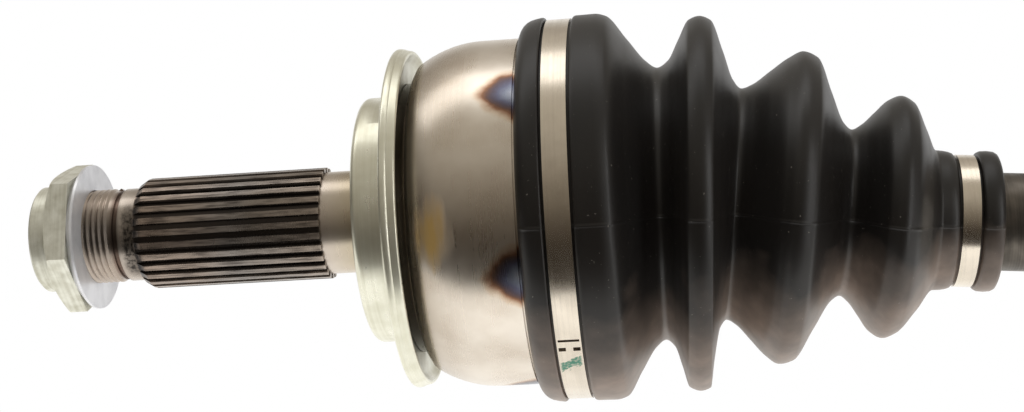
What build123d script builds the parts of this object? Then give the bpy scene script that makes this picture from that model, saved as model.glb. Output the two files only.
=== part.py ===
from build123d import *
from math import cos, pi, radians, sin, sqrt, tan
import os

# Wheel end of a front drive shaft: the splined and threaded stub axle with its hub nut, the bell with
# its dust deflector, the ball joint inside, the rubber boot with its two clamps, and the bar.
# X runs along the stub axle from the hub towards the gearbox, and +Z is up. The origin is on the
# axis, at the hub face of the seal land. Sizes are millimetres and degrees.

# How far a cutter reaches past what it cuts
CUT_MARGIN = 1.0

# How the joint bends
REST_BEND = 4.77
BEND_LIMIT = 42.0
JOINT_X = 42.0

# Balls and their tracks
BALL_COUNT = 6
BALL_R = 7.94
PITCH_R = 30.5
FIRST_TRACK_RISE = 40.0
TRACK_CLEARANCE = 0.3
TRACK_SIDE_PLAY = 1.35
BELL_BACK_ANGLE = 42.0
BELL_FRONT_ANGLE = 55.0
RACE_TRACK_ANGLE = 65.0

# Cage and inner race, which are both slices of a sphere about the joint centre
SPHERE_CLEARANCE = 0.3
CAGE_OUTSIDE_PITCH = 1.5
CAGE_INSIDE_PITCH = 3.2
CAGE_LENGTH = 27.0
WINDOW_CLEARANCE = 0.1
WINDOW_SLACK = 2.8
WINDOW_CORNER_R = 3.0
RACE_LENGTH = 24.0
RACE_CHAMFER = 0.8

# Bell
BELL_WALL = 4.7
BELL_CURVE_LENGTH = 16.6
BELL_CURVE_DROP = 5.6
BELL_EDGE_CHAMFER = 1.0
CAVITY_DEPTH = 27.0
MOUTH_REACH = 16.0
MOUTH_CLEARANCE = 0.8
MOUTH_CHAMFER = 1.2
BOOT_SEAT_STEP = 1.0
RETAIN_GROOVE_WIDTH = 3.6
RETAIN_GROOVE_DEPTH = 1.2

# Dust deflector, a pressed ring on the back of the bell
LAND_R = 31.0
LAND_LENGTH = 9.2
SLEEVE_WALL = 2.5
FLANGE_R = 42.85
FLANGE_THICKNESS = 2.2
FLANGE_ROUND = 0.9
BACK_GROOVE_WIDTH = 3.0
BACK_GROOVE_R = 34.0

# Stub axle
NECK_R = 13.0
NECK_LENGTH = 11.3
NECK_FILLET = 3.0
SPLINE_LENGTH = 48.0
SPLINE_MAJOR_R = 14.15
SPLINE_DEPTH = 1.25
SPLINE_TEETH = 28
SPLINE_CHAMFER = 2.0
RELIEF_LENGTH = 5.8
RELIEF_R = 11.9
UNDERCUT_WIDTH = 1.4
UNDERCUT_DEPTH = 0.9
THREAD_LENGTH = 20.4
THREAD_R = 12.0
THREAD_HALF_DEPTH = 0.5
END_CHAMFER = 1.0
CENTRE_DRILL_R = 3.2
CENTRE_DRILL_DEPTH = 4.5

# Hub nut and its washer
NUT_ACROSS_FLATS = 34.0
NUT_TURN = 15.4
NUT_HEX_LENGTH = 5.9
NUT_COLLAR_LENGTH = 5.5
NUT_COLLAR_WALL = 1.6
NUT_COLLAR_CHAMFER = 0.6
NUT_OVERHANG = 0.8
WASHER_R = 18.6
WASHER_THICKNESS = 2.1
WASHER_RIM = 0.7
SCREW_CLEARANCE = 0.05

# Bar, measured from the joint centre
BAR_R = 12.0
BAR_NECK_R = 11.5
BAR_NECK_END = 44.0
BAR_BLEND_LENGTH = 4.0
BAR_REACH = 200.0
BAR_SPLINE_MAJOR_R = 12.5
BAR_SPLINE_DEPTH = 0.9
BAR_SPLINE_TEETH = 24
BAR_TAIL = 4.0
BAR_SHOULDER_GAP = 3.0
INBOARD_SPLINE_LENGTH = 36.0
INBOARD_MAJOR_R = 12.9
SPLINE_CLEARANCE = 0.08

# Every spline's teeth: half their width at root and tip, as shares of the pitch
TOOTH_ROOT_SHARE = 0.33
TOOTH_TIP_SHARE = 0.21

# Rings that hold the inner race and the inboard joint
RING_THICKNESS = 1.6
RING_WIDTH = 1.9
RING_DEPTH = 1.0
RING_GAP_ANGLE = 36.0
RING_CLEARANCE = 0.1
INBOARD_RING_INSET = 7.0
RACE_RING_TURN = 90.0
STOP_RING_TURN = 270.0
INBOARD_RING_TURN = 200.0

# Boot: the large end sits on the bell, the small end on the bar
BOOT_FRONT_X = 40.5
BOOT_RIDGE_RISE = 4.3
BOOT_RIDGE_LENGTH = 6.6
BOOT_RIDGE_ROUND = 1.5
BOOT_EDGE_ROUND = 0.5
BOOT_FRONT_WALL = 2.2
LARGE_CLAMP_WIDTH = 5.8
CLAMP_THICKNESS = 1.0
CLAMP_CLEARANCE = 0.05
CLAMP_SIDE_GAP = 0.6
LARGE_CLAMP_RISE = 4.0
BOOT_SEAT_CLEARANCE = 0.05
BOOT_WALL = 4.0
BOOT_BLEND_X = 14.0
BOOT_BEND_FROM = 26.0
BOOT_LIFT = 0.8
FIRST_CREST_RISE = 4.7
SMALL_END_FROM = 97.7
SMALL_END_R = 17.2
SMALL_CLAMP_FROM = 102.4
SMALL_CLAMP_WIDTH = 4.2
SMALL_CLAMP_R = 15.2
SMALL_LIP_R = 17.2
SMALL_LIP_END = 112.2
SMALL_END_CLEARANCE = 0.3
BAR_SEAT_DEPTH = 0.6
BAR_SEAT_LENGTH = 3.4

# Pleats of the boot: how far each crest and valley lies from the joint centre, its radius, and its
# angle from square to the stub axle, because the boot settles unevenly when it lies bent. A crest
# is a slightly crowned band, and a valley is a plain ring.
CREST_1_END = 20.1
CREST_1_DROP = 0.2
CREST_1_ANGLE = 0.0
VALLEY_1_AT = 31.2
VALLEY_1_R = 33.9
VALLEY_1_ANGLE = 1.2
CREST_2_AT = 38.2
CREST_2_WIDTH = 5.0
CREST_2_R = 46.2
CREST_2_ANGLE = 3.2
VALLEY_2_AT = 48.8
VALLEY_2_R = 28.6
VALLEY_2_ANGLE = 7.0
CREST_3_AT = 63.6
CREST_3_WIDTH = 3.0
CREST_3_R = 38.5
CREST_3_ANGLE = 8.0
VALLEY_3_AT = 76.2
VALLEY_3_R = 20.5
VALLEY_3_ANGLE = 7.5
CREST_4_AT = 85.0
CREST_4_WIDTH = 5.2
CREST_4_R = 29.6
CREST_4_ANGLE = 8.2
CREST_CROWN = 0.35
FLANK_STEPS = 4

# Ears of the clamps, and the slots where the large clamp's band hooks into itself
EAR_LENGTH = 9.0
EAR_HEIGHT = 4.6
EAR_WAIST_SHARE = 0.7
EAR_ROOT_DEPTH = 1.0
LARGE_EAR_TURN = -80.0
SMALL_EAR_TURN = -62.0
HOOK_TURN = -40.0
HOOK_SLOT_WIDTH = 0.7
HOOK_SLOT_LENGTH = 5.0
WINDOW_TURN = -43.4
WINDOW_WIDTH = 1.2
WINDOW_LENGTH = 1.7
WINDOW_SPREAD = 1.7

# Sizes that follow from the ones above
TRACK_R = BALL_R + TRACK_CLEARANCE
CAGE_OUTER_R = PITCH_R + CAGE_OUTSIDE_PITCH
CAGE_INNER_R = PITCH_R - CAGE_INSIDE_PITCH
BELL_BORE_R = CAGE_OUTER_R + SPHERE_CLEARANCE
RACE_R = CAGE_INNER_R - SPHERE_CLEARANCE
BELL_R = PITCH_R + TRACK_R + BELL_WALL
SEAT_R = BELL_R - BOOT_SEAT_STEP
SLEEVE_BORE_R = LAND_R - SLEEVE_WALL
BELL_BACK_X = LAND_LENGTH + FLANGE_THICKNESS + BACK_GROOVE_WIDTH
BELL_MOUTH_X = JOINT_X + MOUTH_REACH
CLAMP_GROOVE_R = SEAT_R + LARGE_CLAMP_RISE
LARGE_CLAMP_X = BOOT_FRONT_X + BOOT_RIDGE_LENGTH + CLAMP_SIDE_GAP
LARGE_CLAMP_MID_X = LARGE_CLAMP_X + LARGE_CLAMP_WIDTH / 2
FIRST_CREST_R = BELL_R + FIRST_CREST_RISE
SPLINE_END_X = -NECK_LENGTH - SPLINE_LENGTH
THREAD_START_X = SPLINE_END_X - RELIEF_LENGTH
STUB_END_X = THREAD_START_X - THREAD_LENGTH
THREAD_PITCH_R = THREAD_R - THREAD_HALF_DEPTH
NUT_LENGTH = NUT_HEX_LENGTH + NUT_COLLAR_LENGTH
WASHER_X = STUB_END_X - NUT_OVERHANG + NUT_LENGTH
RACE_HALF = RACE_LENGTH / 2
RACE_GROOVE_X = -RACE_HALF - RING_THICKNESS - 2 * RING_CLEARANCE
STOP_GROOVE_X = RACE_HALF + RING_CLEARANCE
RACE_GROOVE_R = BAR_SPLINE_MAJOR_R - BAR_SPLINE_DEPTH - RING_DEPTH
INBOARD_GROOVE_X = BAR_REACH - INBOARD_RING_INSET
INBOARD_GROOVE_R = INBOARD_MAJOR_R - BAR_SPLINE_DEPTH - RING_DEPTH
BAR_START = -RACE_HALF - BAR_TAIL
BAR_BORE_R = BAR_R + SMALL_END_CLEARANCE
TRACK_TURNS = [90 - FIRST_TRACK_RISE - 360 * n / BALL_COUNT for n in range(BALL_COUNT)]

# Where each moving group lies at rest
AT_JOINT = Pos(JOINT_X, 0, 0)
CAGE_PLACE = AT_JOINT * Rot(0, REST_BEND / 2, 0)
BAR_PLACE = AT_JOINT * Rot(0, REST_BEND, 0)


def turned(*points):
    """A solid turned about the X axis from an outline of (x, radius) points."""
    return revolve(make_face(Polyline(*points, close=True)), Axis.X)


def slab(start, length, radius):
    """A plain round bar along X."""
    return turned((start, 0), (start, radius), (start + length, radius), (start + length, 0))


def splined_bar(start, length, major_r, depth, teeth, gap=0.0):
    """A bar with straight-sided teeth; a gap widens it all round for the bore that it slides in."""
    pitch = 2 * pi * (major_r - depth / 2) / teeth
    root_half = TOOTH_ROOT_SHARE * pitch + gap
    tip_half = TOOTH_TIP_SHARE * pitch + gap
    low = major_r - 2 * depth
    high = major_r + depth
    tooth = make_face(
        Polyline((low, -root_half), (high, -tip_half), (high, tip_half), (low, root_half), close=True)
    )
    ring = [place * tooth for place in PolarLocations(0, teeth)]
    section = (Circle(major_r - depth + gap) + ring) & Circle(major_r + gap)
    return Pos(start, 0, 0) * extrude(Plane.YZ * section, length)


def track_sweep(turn, back, front):
    """The space one ball sweeps round the joint centre, with play to both sides."""
    slot = Pos(0, PITCH_R) * SlotCenterToCenter(2 * TRACK_SIDE_PLAY, 2 * TRACK_R)
    start = Rot(0, -back, 0) * (Plane.YZ * slot)
    return Rot(turn, 0, 0) * revolve(start, Axis.Y, back + front)


def spring_ring(start, inner_r, turn=0.0):
    """An open ring of square wire that snaps into a groove."""
    half_gap = radians(RING_GAP_ANGLE / 2)
    reach = 2 * (inner_r + RING_WIDTH)
    mouth = make_face(
        Polyline((0, 0), (reach, -reach * tan(half_gap)), (reach, reach * tan(half_gap)), close=True)
    )
    section = Circle(inner_r + RING_WIDTH) - Circle(inner_r) - mouth
    return Pos(start, 0, 0) * Rot(turn, 0, 0) * extrude(Plane.YZ * section, RING_THICKNESS)


def joint_cavity():
    """The hollow of the bell: a sphere cut flat at the back, and a cone that lets the bar swing."""
    slope = tan(radians(BEND_LIMIT))
    rise = BAR_NECK_R / cos(radians(BEND_LIMIT)) + MOUTH_CLEARANCE
    meet = (sqrt(BELL_BORE_R**2 * (1 + slope**2) - rise**2) - rise * slope) / (1 + slope**2)
    out = MOUTH_REACH + CUT_MARGIN
    start = (-CAVITY_DEPTH, sqrt(BELL_BORE_R**2 - CAVITY_DEPTH**2))
    end = (meet, meet * slope + rise)
    wall = ThreePointArc(start, (0, BELL_BORE_R), end)
    rest = Polyline(end, (out, out * slope + rise), (out, 0), (-CAVITY_DEPTH, 0), start)
    return revolve(make_face(wall + rest), Axis.X)


def bell_blank():
    """The outside of the bell and the stub axle, before the splines and the hollow are cut."""
    thread_r = THREAD_PITCH_R
    minor_r = SPLINE_MAJOR_R - SPLINE_DEPTH
    back_r = BELL_R - BELL_CURVE_DROP
    curve_end = (BELL_BACK_X + BELL_CURVE_LENGTH, BELL_R)
    curve_r = (BELL_CURVE_LENGTH**2 + BELL_CURVE_DROP**2) / (2 * BELL_CURVE_DROP)
    chamfer = BELL_EDGE_CHAMFER
    curve_start_x = BELL_BACK_X + chamfer
    curve_start_r = BELL_R - curve_r + sqrt(curve_r**2 - (curve_end[0] - curve_start_x) ** 2)
    curve_start = (curve_start_x, curve_start_r)
    mid_x = (curve_start_x + curve_end[0]) / 2
    mid = (mid_x, BELL_R - curve_r + sqrt(curve_r**2 - (curve_end[0] - mid_x) ** 2))
    groove_a = LARGE_CLAMP_MID_X - RETAIN_GROOVE_WIDTH / 2
    groove_b = LARGE_CLAMP_MID_X + RETAIN_GROOVE_WIDTH / 2
    groove_r = SEAT_R - RETAIN_GROOVE_DEPTH
    stub = Polyline(
        (0, 0),
        (STUB_END_X, 0),
        (STUB_END_X, thread_r - END_CHAMFER),
        (STUB_END_X + END_CHAMFER, thread_r),
        (THREAD_START_X, thread_r),
        (THREAD_START_X, RELIEF_R - UNDERCUT_DEPTH),
        (THREAD_START_X + UNDERCUT_WIDTH, RELIEF_R - UNDERCUT_DEPTH),
        (THREAD_START_X + UNDERCUT_WIDTH, RELIEF_R),
        (SPLINE_END_X, RELIEF_R),
        (SPLINE_END_X, minor_r),
        (-NECK_LENGTH, minor_r),
        (-NECK_LENGTH, NECK_R),
        (-NECK_FILLET, NECK_R),
    )
    fillet = RadiusArc((-NECK_FILLET, NECK_R), (0, NECK_R + NECK_FILLET), NECK_FILLET)
    back = Polyline(
        (0, NECK_R + NECK_FILLET),
        (0, SLEEVE_BORE_R),
        (LAND_LENGTH + FLANGE_THICKNESS, SLEEVE_BORE_R),
        (LAND_LENGTH + FLANGE_THICKNESS, BACK_GROOVE_R),
        (BELL_BACK_X, BACK_GROOVE_R),
        (BELL_BACK_X, back_r - chamfer),
        curve_start,
    )
    shoulder = ThreePointArc(curve_start, mid, curve_end)
    front = Polyline(
        curve_end,
        (BOOT_FRONT_X, BELL_R),
        (BOOT_FRONT_X, SEAT_R),
        (groove_a, SEAT_R),
        (groove_a, groove_r),
        (groove_b, groove_r),
        (groove_b, SEAT_R),
        (BELL_MOUTH_X - MOUTH_CHAMFER, SEAT_R),
        (BELL_MOUTH_X, SEAT_R - MOUTH_CHAMFER),
        (BELL_MOUTH_X, 0),
        (0, 0),
    )
    return revolve(make_face(stub + fillet + back + shoulder + front), Axis.X)


def make_outer_race():
    """Bell and stub axle in one forging."""
    major_r = SPLINE_MAJOR_R
    teeth = splined_bar(SPLINE_END_X, SPLINE_LENGTH, major_r, SPLINE_DEPTH, SPLINE_TEETH)
    envelope = turned(
        (SPLINE_END_X, 0),
        (SPLINE_END_X, major_r - SPLINE_DEPTH),
        (SPLINE_END_X + SPLINE_CHAMFER, major_r),
        (-NECK_LENGTH, major_r),
        (-NECK_LENGTH, 0),
    )
    body = bell_blank() + (teeth & envelope)
    body -= AT_JOINT * joint_cavity()
    for turn in TRACK_TURNS:
        body -= AT_JOINT * track_sweep(turn, BELL_BACK_ANGLE, BELL_FRONT_ANGLE)
    drill = turned(
        (STUB_END_X, 0), (STUB_END_X, CENTRE_DRILL_R), (STUB_END_X + CENTRE_DRILL_DEPTH, 0)
    )
    return body - drill


def make_dust_deflector():
    """Sleeve that carries the hub seal, with a thin flange that throws water off."""
    far = LAND_LENGTH + FLANGE_THICKNESS
    return turned(
        (0, SLEEVE_BORE_R),
        (0, LAND_R),
        (LAND_LENGTH, LAND_R),
        (LAND_LENGTH, FLANGE_R - FLANGE_ROUND),
        (LAND_LENGTH + FLANGE_ROUND * 0.4, FLANGE_R),
        (far - FLANGE_ROUND * 0.4, FLANGE_R),
        (far, FLANGE_R - FLANGE_ROUND),
        (far, SLEEVE_BORE_R),
    )


def make_axle_nut():
    """Hexagon nut with a thin collar that is staked to the stub axle."""
    left = STUB_END_X - NUT_OVERHANG
    hex_x = left + NUT_COLLAR_LENGTH
    corner_r = NUT_ACROSS_FLATS / sqrt(3)
    flat_r = NUT_ACROSS_FLATS / 2
    hexagon = RegularPolygon(flat_r, 6, major_radius=False, rotation=NUT_TURN)
    block = Pos(hex_x, 0, 0) * extrude(Plane.YZ * hexagon, NUT_HEX_LENGTH)
    cone = corner_r - flat_r
    cone_r = corner_r + cone
    rounded = turned(
        (hex_x, 0), (hex_x, flat_r), (hex_x + cone, cone_r), (WASHER_X, cone_r), (WASHER_X, 0)
    )
    collar_r = THREAD_R + NUT_COLLAR_WALL
    collar = turned(
        (left, 0),
        (left, collar_r - NUT_COLLAR_CHAMFER),
        (left + NUT_COLLAR_CHAMFER, collar_r),
        (hex_x + CUT_MARGIN, collar_r),
        (hex_x + CUT_MARGIN, 0),
    )
    bore = slab(left - CUT_MARGIN, NUT_LENGTH + 2 * CUT_MARGIN, THREAD_PITCH_R + SCREW_CLEARANCE)
    return (block & rounded) + collar - bore


def make_nut_washer():
    """Plain washer with a bevelled face, under the nut."""
    far = WASHER_X + WASHER_THICKNESS
    bore_r = THREAD_R + 2 * SCREW_CLEARANCE
    return turned(
        (WASHER_X, bore_r),
        (WASHER_X, NUT_ACROSS_FLATS / 2),
        (far - WASHER_RIM, WASHER_R),
        (far, WASHER_R),
        (far, bore_r),
    )


def make_cage():
    """Ball cage: a slice of a hollow sphere with one window for each ball."""
    half = CAGE_LENGTH / 2
    outer_end = sqrt(CAGE_OUTER_R**2 - half**2)
    inner_end = sqrt(CAGE_INNER_R**2 - half**2)
    outside = ThreePointArc((-half, outer_end), (0, CAGE_OUTER_R), (half, outer_end))
    inside = ThreePointArc((half, inner_end), (0, CAGE_INNER_R), (-half, inner_end))
    ends = Line((half, outer_end), (half, inner_end)) + Line((-half, inner_end), (-half, outer_end))
    cage = revolve(make_face(outside + inside + ends), Axis.X)
    ball = 2 * BALL_R
    pane = RectangleRounded(ball + WINDOW_CLEARANCE, ball + WINDOW_SLACK, WINDOW_CORNER_R)
    window = Pos(0, 0, CAGE_INNER_R - BALL_R) * extrude(pane, 2 * BALL_R)
    for turn in TRACK_TURNS:
        cage -= Rot(turn, 0, 0) * window
    return CAGE_PLACE * cage


def make_ball(turn):
    return CAGE_PLACE * Rot(turn, 0, 0) * Pos(0, 0, PITCH_R) * Sphere(BALL_R)


def make_inner_race():
    """Inner race: a slice of a sphere with six tracks and a splined bore."""
    end_r = sqrt(RACE_R**2 - RACE_HALF**2)
    outside = ThreePointArc((-RACE_HALF, end_r), (0, RACE_R), (RACE_HALF, end_r))
    ends = Polyline((RACE_HALF, end_r), (RACE_HALF, 0), (-RACE_HALF, 0), (-RACE_HALF, end_r))
    race = revolve(make_face(outside + ends), Axis.X)
    for turn in TRACK_TURNS:
        race -= track_sweep(turn, RACE_TRACK_ANGLE, RACE_TRACK_ANGLE)
    bore = splined_bar(
        -RACE_HALF - CUT_MARGIN,
        RACE_LENGTH + 2 * CUT_MARGIN,
        BAR_SPLINE_MAJOR_R,
        BAR_SPLINE_DEPTH,
        BAR_SPLINE_TEETH,
        SPLINE_CLEARANCE,
    )
    mouth_r = BAR_SPLINE_MAJOR_R + SPLINE_CLEARANCE
    lead_in = turned(
        (RACE_HALF, 0), (RACE_HALF, mouth_r + RACE_CHAMFER), (RACE_HALF - RACE_CHAMFER, mouth_r), (0, 0)
    )
    return BAR_PLACE * (race - bore - lead_in)


def ring_groove(start, floor_r):
    """Cutter for the groove of a spring ring."""
    far = start + RING_THICKNESS + RING_CLEARANCE
    high = floor_r + 4 * RING_DEPTH
    return turned((start, floor_r), (start, high), (far, high), (far, floor_r))


def make_shaft_bar():
    """The bar: splined into the inner race, necked where the bell swings over it, splined again."""
    spline_r = BAR_SPLINE_MAJOR_R - BAR_SPLINE_DEPTH
    inboard_r = INBOARD_MAJOR_R - BAR_SPLINE_DEPTH
    race_spline_end = RACE_HALF + BAR_SHOULDER_GAP
    inboard_start = BAR_REACH - INBOARD_SPLINE_LENGTH
    seat_from = SMALL_CLAMP_FROM + (SMALL_CLAMP_WIDTH - BAR_SEAT_LENGTH) / 2
    seat_r = BAR_R - BAR_SEAT_DEPTH
    core = turned(
        (BAR_START, 0),
        (BAR_START, spline_r - END_CHAMFER),
        (BAR_START + END_CHAMFER, spline_r),
        (race_spline_end, spline_r),
        (race_spline_end, BAR_NECK_R),
        (BAR_NECK_END, BAR_NECK_R),
        (BAR_NECK_END + BAR_BLEND_LENGTH, BAR_R),
        (seat_from, BAR_R),
        (seat_from + BAR_SEAT_DEPTH, seat_r),
        (seat_from + BAR_SEAT_LENGTH - BAR_SEAT_DEPTH, seat_r),
        (seat_from + BAR_SEAT_LENGTH, BAR_R),
        (inboard_start - BAR_BLEND_LENGTH, BAR_R),
        (inboard_start, inboard_r),
        (BAR_REACH - END_CHAMFER, inboard_r),
        (BAR_REACH, inboard_r - END_CHAMFER),
        (BAR_REACH, 0),
    )
    length = race_spline_end - BAR_START
    race_teeth = splined_bar(BAR_START, length, BAR_SPLINE_MAJOR_R, BAR_SPLINE_DEPTH, BAR_SPLINE_TEETH)
    race_limit = turned(
        (BAR_START, 0),
        (BAR_START, spline_r - END_CHAMFER),
        (BAR_START + END_CHAMFER + BAR_SPLINE_DEPTH, BAR_SPLINE_MAJOR_R),
        (race_spline_end - BAR_SPLINE_DEPTH, BAR_SPLINE_MAJOR_R),
        (race_spline_end, spline_r),
        (race_spline_end, 0),
    )
    inboard_teeth = splined_bar(
        inboard_start, INBOARD_SPLINE_LENGTH, INBOARD_MAJOR_R, BAR_SPLINE_DEPTH, BAR_SPLINE_TEETH
    )
    inboard_limit = turned(
        (inboard_start, 0),
        (inboard_start, inboard_r),
        (inboard_start + BAR_SPLINE_DEPTH * 2, INBOARD_MAJOR_R),
        (BAR_REACH - END_CHAMFER - BAR_SPLINE_DEPTH, INBOARD_MAJOR_R),
        (BAR_REACH, inboard_r - END_CHAMFER),
        (BAR_REACH, 0),
    )
    bar = core + (race_teeth & race_limit) + (inboard_teeth & inboard_limit)
    bar -= ring_groove(RACE_GROOVE_X, RACE_GROOVE_R)
    bar -= ring_groove(STOP_GROOVE_X, RACE_GROOVE_R)
    bar -= ring_groove(INBOARD_GROOVE_X, INBOARD_GROOVE_R)
    return BAR_PLACE * bar


def make_groove_ring(groove_x, groove_r, turn):
    """A spring ring seated in one of the bar's grooves."""
    half_play = RING_CLEARANCE / 2
    return BAR_PLACE * spring_ring(groove_x + half_play, groove_r + half_play, turn)


def ring_plane(distance, lean):
    """The plane of one ring of the boot: its centre line turns from the stub axle towards the bar,
    and the stiffness of the rubber holds the middle a little above that."""
    share = (distance - BOOT_BEND_FROM) / (SMALL_END_FROM - BOOT_BEND_FROM)
    share = min(max(share, 0), 1)
    bend = radians(REST_BEND) * sin(pi / 2 * share)
    height = BOOT_LIFT * sin(pi * share) - distance * sin(bend)
    origin = (JOINT_X + distance * cos(bend), 0, height)
    return Plane(origin, x_dir=(0, 1, 0), z_dir=(cos(radians(lean)), 0, -sin(radians(lean))))


def boot_rings():
    """The rings where the boot's outline turns, as distance, radius and angle."""
    rings = [
        (BOOT_BLEND_X, FIRST_CREST_R, 0),
        (CREST_1_END, FIRST_CREST_R - CREST_1_DROP, CREST_1_ANGLE),
        (VALLEY_1_AT, VALLEY_1_R, VALLEY_1_ANGLE),
        (CREST_2_AT, CREST_2_R, CREST_2_ANGLE),
        (CREST_2_AT + CREST_2_WIDTH, CREST_2_R, CREST_2_ANGLE),
        (VALLEY_2_AT, VALLEY_2_R, VALLEY_2_ANGLE),
        (CREST_3_AT, CREST_3_R, CREST_3_ANGLE),
        (CREST_3_AT + CREST_3_WIDTH, CREST_3_R, CREST_3_ANGLE),
        (VALLEY_3_AT, VALLEY_3_R, VALLEY_3_ANGLE),
        (CREST_4_AT, CREST_4_R, CREST_4_ANGLE),
        (CREST_4_AT + CREST_4_WIDTH, CREST_4_R, CREST_4_ANGLE),
        (SMALL_END_FROM, SMALL_END_R, REST_BEND),
    ]
    return rings


def boot_stations():
    """Every ring of the pleats: flanks follow half a wave, and the bands between are crowned."""
    rings = boot_rings()
    stations = rings[:1]
    for low, high in zip(rings, rings[1:]):
        is_band = abs(high[1] - low[1]) < CREST_CROWN
        steps = 2 if is_band else FLANK_STEPS
        for step in range(1, steps + 1):
            share = step / steps
            height = (1 - cos(pi * share)) / 2
            crown = CREST_CROWN * sin(pi * share) if is_band else 0
            distance = low[0] + (high[0] - low[0]) * share
            lean = low[2] + (high[2] - low[2]) * share
            stations.append((distance, low[1] + (high[1] - low[1]) * height + crown, lean))
    return stations


def pleat_solid(inset):
    """The pleats as a solid, each ring made smaller by the inset."""
    rings = [ring_plane(at, lean) * Circle(r - inset) for at, r, lean in boot_stations()]
    return loft(rings, ruled=True)


def make_boot():
    """Rubber bellows, moulded with a thick ring at each end for the clamps."""
    blend_x = JOINT_X + BOOT_BLEND_X
    seat_r = SEAT_R + BOOT_SEAT_CLEARANCE
    bead_r = seat_r - RETAIN_GROOVE_DEPTH
    bead_half = RETAIN_GROOVE_WIDTH / 2 - BOOT_SEAT_CLEARANCE
    ridge_r = SEAT_R + BOOT_RIDGE_RISE
    ridge_end = BOOT_FRONT_X + BOOT_RIDGE_LENGTH
    groove_end = LARGE_CLAMP_X + LARGE_CLAMP_WIDTH + CLAMP_SIDE_GAP
    seat_end = JOINT_X + BOOT_BLEND_X - BOOT_WALL / 2
    large_end = turned(
        (BOOT_FRONT_X + BOOT_SEAT_CLEARANCE, seat_r),
        (BOOT_FRONT_X + BOOT_SEAT_CLEARANCE, SEAT_R + BOOT_FRONT_WALL),
        (BOOT_FRONT_X + BOOT_RIDGE_ROUND, ridge_r),
        (ridge_end - BOOT_EDGE_ROUND, FIRST_CREST_R),
        (ridge_end, FIRST_CREST_R - BOOT_EDGE_ROUND),
        (ridge_end, CLAMP_GROOVE_R),
        (groove_end, CLAMP_GROOVE_R),
        (groove_end, FIRST_CREST_R - BOOT_EDGE_ROUND),
        (groove_end + BOOT_EDGE_ROUND, FIRST_CREST_R),
        (blend_x, FIRST_CREST_R),
        (blend_x, FIRST_CREST_R - BOOT_WALL),
        (seat_end, seat_r),
        (LARGE_CLAMP_MID_X + bead_half, seat_r),
        (LARGE_CLAMP_MID_X + bead_half, bead_r),
        (LARGE_CLAMP_MID_X - bead_half, bead_r),
        (LARGE_CLAMP_MID_X - bead_half, seat_r),
    )
    clamp_a = SMALL_CLAMP_FROM - CLAMP_SIDE_GAP
    clamp_b = SMALL_CLAMP_FROM + SMALL_CLAMP_WIDTH + CLAMP_SIDE_GAP
    bead_mid = SMALL_CLAMP_FROM + SMALL_CLAMP_WIDTH / 2
    small_bead = BAR_SEAT_LENGTH / 2 - BAR_SEAT_DEPTH - SMALL_END_CLEARANCE
    groove_r = SMALL_CLAMP_R - CLAMP_CLEARANCE
    round_off = (SMALL_LIP_R - groove_r) / 2
    small_end = turned(
        (SMALL_END_FROM, SMALL_END_R - BOOT_WALL),
        (SMALL_END_FROM, SMALL_END_R),
        (clamp_a - BOOT_RIDGE_ROUND, SMALL_LIP_R - BOOT_EDGE_ROUND),
        (clamp_a, SMALL_LIP_R - 2 * BOOT_EDGE_ROUND),
        (clamp_a, groove_r),
        (clamp_b, groove_r),
        (clamp_b, SMALL_LIP_R - round_off),
        (clamp_b + round_off, SMALL_LIP_R),
        (SMALL_LIP_END - round_off, SMALL_LIP_R),
        (SMALL_LIP_END, SMALL_LIP_R - round_off),
        (SMALL_LIP_END, BAR_BORE_R),
        (bead_mid + small_bead + BAR_SEAT_DEPTH, BAR_BORE_R),
        (bead_mid + small_bead, BAR_BORE_R - BAR_SEAT_DEPTH),
        (bead_mid - small_bead, BAR_BORE_R - BAR_SEAT_DEPTH),
        (bead_mid - small_bead - BAR_SEAT_DEPTH, BAR_BORE_R),
        (SMALL_END_FROM + BOOT_RIDGE_ROUND, BAR_BORE_R),
    )
    pleats = pleat_solid(0) - pleat_solid(BOOT_WALL)
    return large_end + pleats + BAR_PLACE * small_end


def clamp_section(inner_r, turn):
    """A band seen from the end: a ring that is open under a raised, pinched ear."""
    outer_r = inner_r + CLAMP_THICKNESS
    half = EAR_LENGTH / 2
    foot_r = inner_r + CLAMP_THICKNESS / 2
    top = outer_r + EAR_HEIGHT
    pinch = half * EAR_WAIST_SHARE
    sheet = CLAMP_THICKNESS
    root_r = foot_r - EAR_ROOT_DEPTH
    ear = make_face(
        Polyline(
            (-half, root_r),
            (-half, foot_r),
            (-pinch, (foot_r + top) / 2),
            (-half, top),
            (half, top),
            (pinch, (foot_r + top) / 2),
            (half, foot_r),
            (half, root_r),
            close=True,
        )
    )
    hollow = make_face(
        Polyline(
            (-half + sheet, root_r - EAR_ROOT_DEPTH),
            (-half + sheet, foot_r),
            (-pinch + sheet, (foot_r + top) / 2),
            (-half + sheet, top - sheet),
            (half - sheet, top - sheet),
            (pinch - sheet, (foot_r + top) / 2),
            (half - sheet, foot_r),
            (half - sheet, root_r - EAR_ROOT_DEPTH),
            close=True,
        )
    )
    band = Circle(outer_r) + ear - hollow - Circle(inner_r)
    return Rot(0, 0, turn) * band


def hook_slot(turn, offset, width, length):
    """Cutter for a slot through the large clamp's band; a turn of zero faces -Y."""
    height = 4 * CLAMP_THICKNESS
    place = Rot(-turn, 0, 0) * Pos(LARGE_CLAMP_MID_X + offset, -CLAMP_GROOVE_R, 0)
    return place * Box(length, height, width)


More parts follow.
